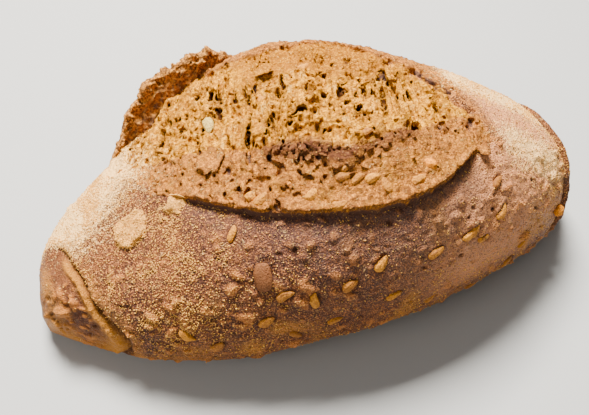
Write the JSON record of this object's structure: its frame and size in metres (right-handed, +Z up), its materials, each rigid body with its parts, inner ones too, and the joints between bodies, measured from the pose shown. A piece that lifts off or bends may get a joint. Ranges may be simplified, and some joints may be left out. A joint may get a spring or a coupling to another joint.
{
  "type": "durum wheat loaf",
  "caption": "Pointed oval seeded bread loaf, torn open along the top with rough crumb, a raised ear of crust and floured ends.",
  "frame": {"origin": "on the flat underside, below the middle of the loaf's length", "axes": "+X along the loaf to its right end as seen from the front, +Y to the back, +Z up through the torn top"},
  "size_m": [0.28, 0.1604, 0.1049],
  "materials": {
    "crust": "baked brown bread crust, matt, dusted with flour at both ends",
    "crumb": "torn golden crumb, matt and porous",
    "seeds": "toasted seeds, satin",
    "semolina": "coarse semolina grains, matt"
  },
  "bodies": {
    "root": {"loaf": "crust"}
  },
  "joints": []
}
